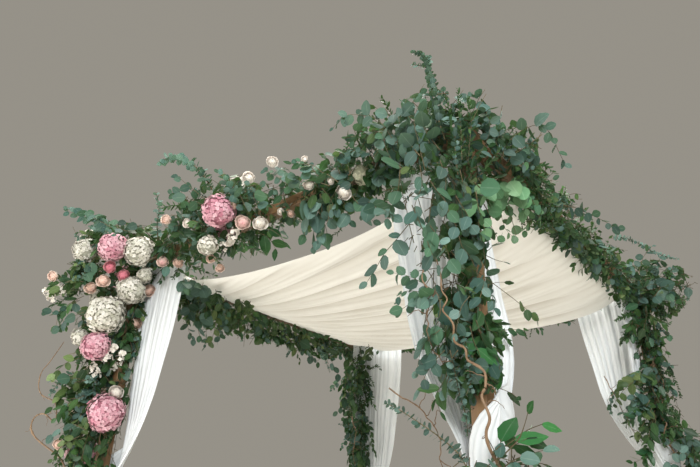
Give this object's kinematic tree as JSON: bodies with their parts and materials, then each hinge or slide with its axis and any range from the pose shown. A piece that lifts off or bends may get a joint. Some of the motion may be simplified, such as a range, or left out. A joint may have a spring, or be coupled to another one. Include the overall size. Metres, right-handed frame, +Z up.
{
  "type": "chuppah canopy",
  "caption": "Square timber wedding canopy with a slung cloth roof, tied corner drapes, and flower and leaf garlands on beams and posts.",
  "frame": {"origin": "on the floor, in the middle of the four posts", "axes": "+Z up, +X to the right and -Y to the front, where the flower clusters are"},
  "size_m": [3.24, 3.24, 2.9445],
  "materials": {
    "timber": "warm stained softwood, satin",
    "steel": "dark powder-coated steel, matt",
    "chiffon": "soft cream-white chiffon, slightly sheer",
    "ribbon": "white satin ribbon",
    "leaves": "waxy blue-green and dark green leaves",
    "flowers": "soft pink, peach and white petals",
    "willow": "dry tan bark"
  },
  "bodies": {
    "root": {"front_left_post": "timber", "front_left_foot": "steel", "front_left_drape": "chiffon", "front_left_tie": "ribbon", "front_left_willow": "willow", "front_left_bouquet": "flowers", "front_left_post_garland": "flowers", "front_right_post": "timber", "front_right_foot": "steel", "front_right_drape": "chiffon", "front_right_tie": "ribbon", "front_right_willow": "willow", "front_right_bouquet": "leaves", "front_right_post_garland": "leaves", "back_right_post": "timber", "back_right_foot": "steel", "back_right_drape": "chiffon", "back_right_tie": "ribbon", "back_right_willow": "willow", "back_right_bouquet": "leaves", "back_right_post_garland": "leaves", "back_left_post": "timber", "back_left_foot": "steel", "back_left_drape": "chiffon", "back_left_tie": "ribbon", "back_left_willow": "willow", "back_left_bouquet": "leaves", "back_left_post_garland": "leaves", "front_beam": "timber", "front_beam_garland": "leaves", "right_beam": "timber", "right_beam_garland": "leaves", "back_beam": "timber", "back_beam_garland": "leaves", "left_beam": "timber", "left_beam_garland": "leaves", "canopy_cloth": "chiffon", "front_beam_bouquet": "flowers", "front_right_spray": "leaves"}
  },
  "joints": []
}
